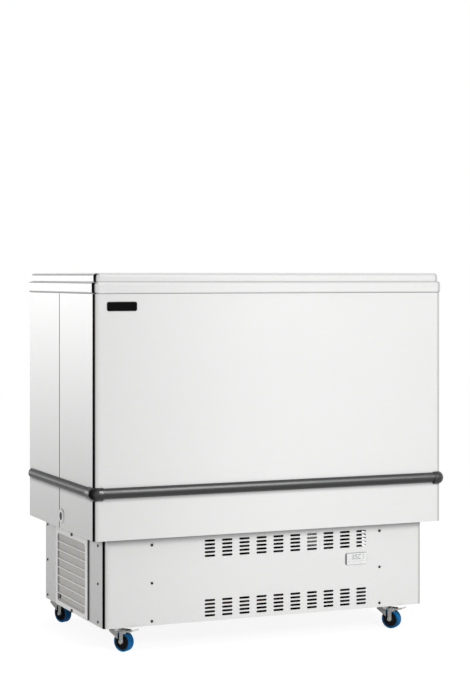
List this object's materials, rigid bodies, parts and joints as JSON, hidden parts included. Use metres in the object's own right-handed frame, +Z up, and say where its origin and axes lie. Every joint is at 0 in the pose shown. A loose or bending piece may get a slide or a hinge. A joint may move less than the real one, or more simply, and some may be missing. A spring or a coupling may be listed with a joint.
{
  "type": "chest bottle cooler",
  "caption": "Free-standing insulated chest with a rimmed hatch under sliding lids, bumper band, vented machine plinth and swivel casters.",
  "frame": {"origin": "on the floor under the centre of the body", "axes": "+X to the cooler's right, +Y to its back, +Z up"},
  "size_m": [0.992, 0.573, 0.944],
  "materials": {
    "stainless": "satin stainless sheet",
    "liner_steel": "satin stainless sheet",
    "lid_steel": "foam slab in a satin steel-look skin",
    "grille_steel": "light grey powder coat",
    "zinc_steel": "galvanised",
    "foam": "rigid insulation foam",
    "copper": "drawn copper",
    "track_plastic": "dark grey moulded",
    "bumper_plastic": "dark grey extruded",
    "bumper_corner_plastic": "dark grey moulded",
    "plate_black": "black gloss",
    "drain_white": "white moulded",
    "stopper_grey": "dark rubber",
    "filter_mesh": "warm grey netting in a frame",
    "screw_dark": "blackened steel",
    "knob_black": "black moulded",
    "controller_light": "light grey moulded",
    "display": "pale display window",
    "compressor_black": "black semi-gloss paint",
    "mount_rubber": "black rubber",
    "relay_plastic": "off-white moulded",
    "condenser_alu": "plain fins",
    "shroud_plastic": "black moulded",
    "motor_metal": "die-cast",
    "inlet_black": "black moulded",
    "caster_zinc": "bright zinc plate",
    "hub_black": "black moulded",
    "tyre_blue": "blue rubber"
  },
  "bodies": {
    "cabinet": {"front_wrapper": "stainless", "rear_wrapper": "stainless", "bottom_pan": "zinc_steel", "insulation_foam": "foam", "evaporator_coil": "copper", "inner_liner": "liner_steel", "rim_lower": "stainless", "rim_upper": "stainless", "lid_tracks": "track_plastic", "bumper_bars": "bumper_plastic", "bumper_corners": "bumper_corner_plastic", "badge_plate": "plate_black", "drain_outlet": "drain_white", "drain_tube": "drain_white", "base_frame": "zinc_steel", "plinth_front": "stainless", "plinth_rear": "stainless", "grille_cover": "grille_steel", "dust_filter": "filter_mesh", "side_panel": "stainless", "panel_screws": "screw_dark", "grille_knobs": "knob_black", "controller_case": "controller_light", "controller_window": "display", "compressor": "compressor_black", "compressor_mounts": "mount_rubber", "relay_box": "relay_plastic", "condenser": "condenser_alu", "fan_shroud": "shroud_plastic", "fan_motor": "motor_metal", "refrigerant_pipes": "copper", "mains_inlet": "inlet_black", "caster_plates": "caster_zinc"},
    "left_lid": {"left_lid_panel": "lid_steel", "left_lid_frame": "track_plastic"},
    "right_lid": {"right_lid_panel": "lid_steel", "right_lid_frame": "track_plastic"},
    "drain_stopper": {"drain_cap": "stopper_grey"},
    "set_key": {"key_set": "controller_light"},
    "down_key": {"key_down": "controller_light"},
    "up_key": {"key_up": "controller_light"},
    "fan": {"fan_blades": "shroud_plastic"},
    "swivel_fl": {"fork_fl": "caster_zinc", "axle_fl": "caster_zinc"},
    "wheel_fl": {"hub_fl": "hub_black", "tyre_fl": "tyre_blue"},
    "brake_fl": {"pedal_fl": "caster_zinc"},
    "swivel_fr": {"fork_fr": "caster_zinc", "axle_fr": "caster_zinc"},
    "wheel_fr": {"hub_fr": "hub_black", "tyre_fr": "tyre_blue"},
    "brake_fr": {"pedal_fr": "caster_zinc"},
    "swivel_rl": {"fork_rl": "caster_zinc", "axle_rl": "caster_zinc"},
    "wheel_rl": {"hub_rl": "hub_black", "tyre_rl": "tyre_blue"},
    "swivel_rr": {"fork_rr": "caster_zinc", "axle_rr": "caster_zinc"},
    "wheel_rr": {"hub_rr": "hub_black", "tyre_rr": "tyre_blue"}
  },
  "joints": [
    {"name": "left_lid_slide", "type": "slide", "parent": "cabinet", "child": "left_lid", "axis": [1, 0, 0], "range_m": [0, 0.43]},
    {"name": "right_lid_slide", "type": "slide", "parent": "cabinet", "child": "right_lid", "axis": [1, 0, 0], "range_m": [-0.42, 0]},
    {"name": "stopper_pull", "type": "slide", "parent": "cabinet", "child": "drain_stopper", "axis": [-1, 0, 0], "range_m": [0, 0.03]},
    {"name": "set_key_press", "type": "slide", "parent": "cabinet", "child": "set_key", "axis": [0, 1, 0], "range_m": [0, 0.0008], "stiffness_N_per_m": 400},
    {"name": "down_key_press", "type": "slide", "parent": "cabinet", "child": "down_key", "axis": [0, 1, 0], "range_m": [0, 0.0008], "stiffness_N_per_m": 400},
    {"name": "up_key_press", "type": "slide", "parent": "cabinet", "child": "up_key", "axis": [0, 1, 0], "range_m": [0, 0.0008], "stiffness_N_per_m": 400},
    {"name": "fan_spin", "type": "hinge", "parent": "cabinet", "child": "fan", "pos_m": [-0.3734, 0.00515, 0.1605], "axis": [1, 0, 0], "continuous": true},
    {"name": "swivel_fl_turn", "type": "hinge", "parent": "cabinet", "child": "swivel_fl", "pos_m": [-0.398, -0.1975, 0.0547], "axis": [0, 0, 1], "continuous": true},
    {"name": "wheel_fl_roll", "type": "hinge", "parent": "swivel_fl", "child": "wheel_fl", "pos_m": [-0.3857, -0.21574, 0.025], "axis": [0.829, 0.5592, 0], "continuous": true},
    {"name": "brake_fl_tip", "type": "hinge", "parent": "swivel_fl", "child": "brake_fl", "pos_m": [-0.38122, -0.22237, 0.0517], "axis": [0.829, 0.5592, 0], "range_deg": [0, 12]},
    {"name": "swivel_fr_turn", "type": "hinge", "parent": "cabinet", "child": "swivel_fr", "pos_m": [0.356, -0.1975, 0.0547], "axis": [0, 0, 1], "continuous": true},
    {"name": "wheel_fr_roll", "type": "hinge", "parent": "swivel_fr", "child": "wheel_fr", "pos_m": [0.36893, -0.2153, 0.025], "axis": [0.809, 0.5878, 0], "continuous": true},
    {"name": "brake_fr_tip", "type": "hinge", "parent": "swivel_fr", "child": "brake_fr", "pos_m": [0.37363, -0.22177, 0.0517], "axis": [0.809, 0.5878, 0], "range_deg": [0, 12]},
    {"name": "swivel_rl_turn", "type": "hinge", "parent": "cabinet", "child": "swivel_rl", "pos_m": [-0.418, 0.2275, 0.0547], "axis": [0, 0, 1], "continuous": true},
    {"name": "wheel_rl_roll", "type": "hinge", "parent": "swivel_rl", "child": "wheel_rl", "pos_m": [-0.40905, 0.2074, 0.025], "axis": [0.9135, 0.4067, 0], "continuous": true},
    {"name": "swivel_rr_turn", "type": "hinge", "parent": "cabinet", "child": "swivel_rr", "pos_m": [0.418, 0.2275, 0.0547], "axis": [0, 0, 1], "continuous": true},
    {"name": "wheel_rr_roll", "type": "hinge", "parent": "swivel_rr", "child": "wheel_rr", "pos_m": [0.42833, 0.20808, 0.025], "axis": [0.8829, 0.4695, 0], "continuous": true}
  ]
}
